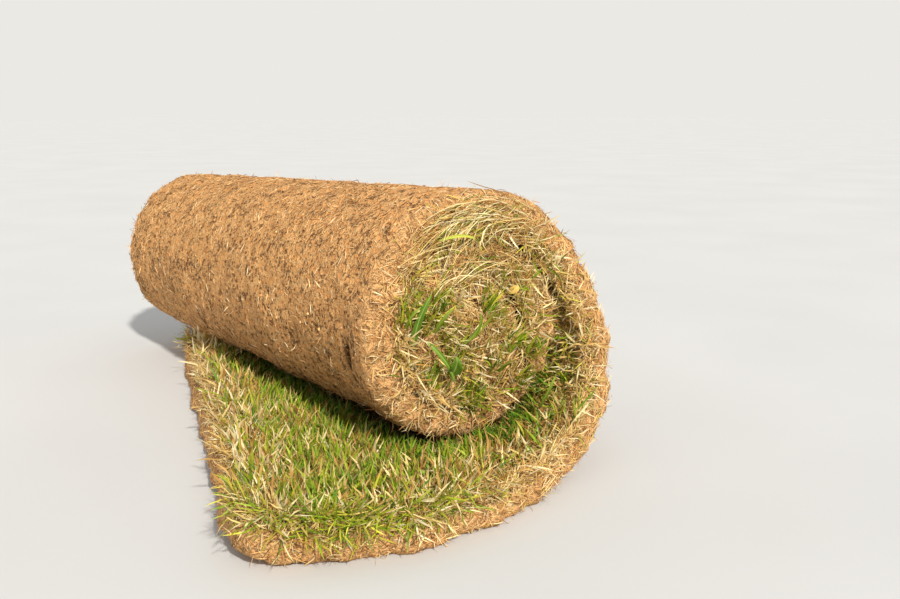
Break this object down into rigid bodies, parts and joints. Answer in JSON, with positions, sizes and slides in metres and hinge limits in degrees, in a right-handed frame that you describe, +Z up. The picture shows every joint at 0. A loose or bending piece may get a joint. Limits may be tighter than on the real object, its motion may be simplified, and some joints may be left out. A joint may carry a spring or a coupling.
{
  "type": "roll of turf",
  "caption": "Roll of harvested turf, grass side in, with its slack outer turn slipped forward and its end laid out grass up on the ground.",
  "frame": {"origin": "on the floor under the roll's middle, where the roll meets its laid-out end, at half the strip's width", "axes": "+Y along the roll from its near, slipped end to its tighter far end, +X away from the laid-out end, +Z up"},
  "size_m": [0.3773, 0.7124, 0.2443],
  "materials": {
    "turf": "matt fibrous soil and root felt, grass on the other side"
  },
  "bodies": {
    "root": {"turf_roll": "turf"}
  },
  "joints": []
}
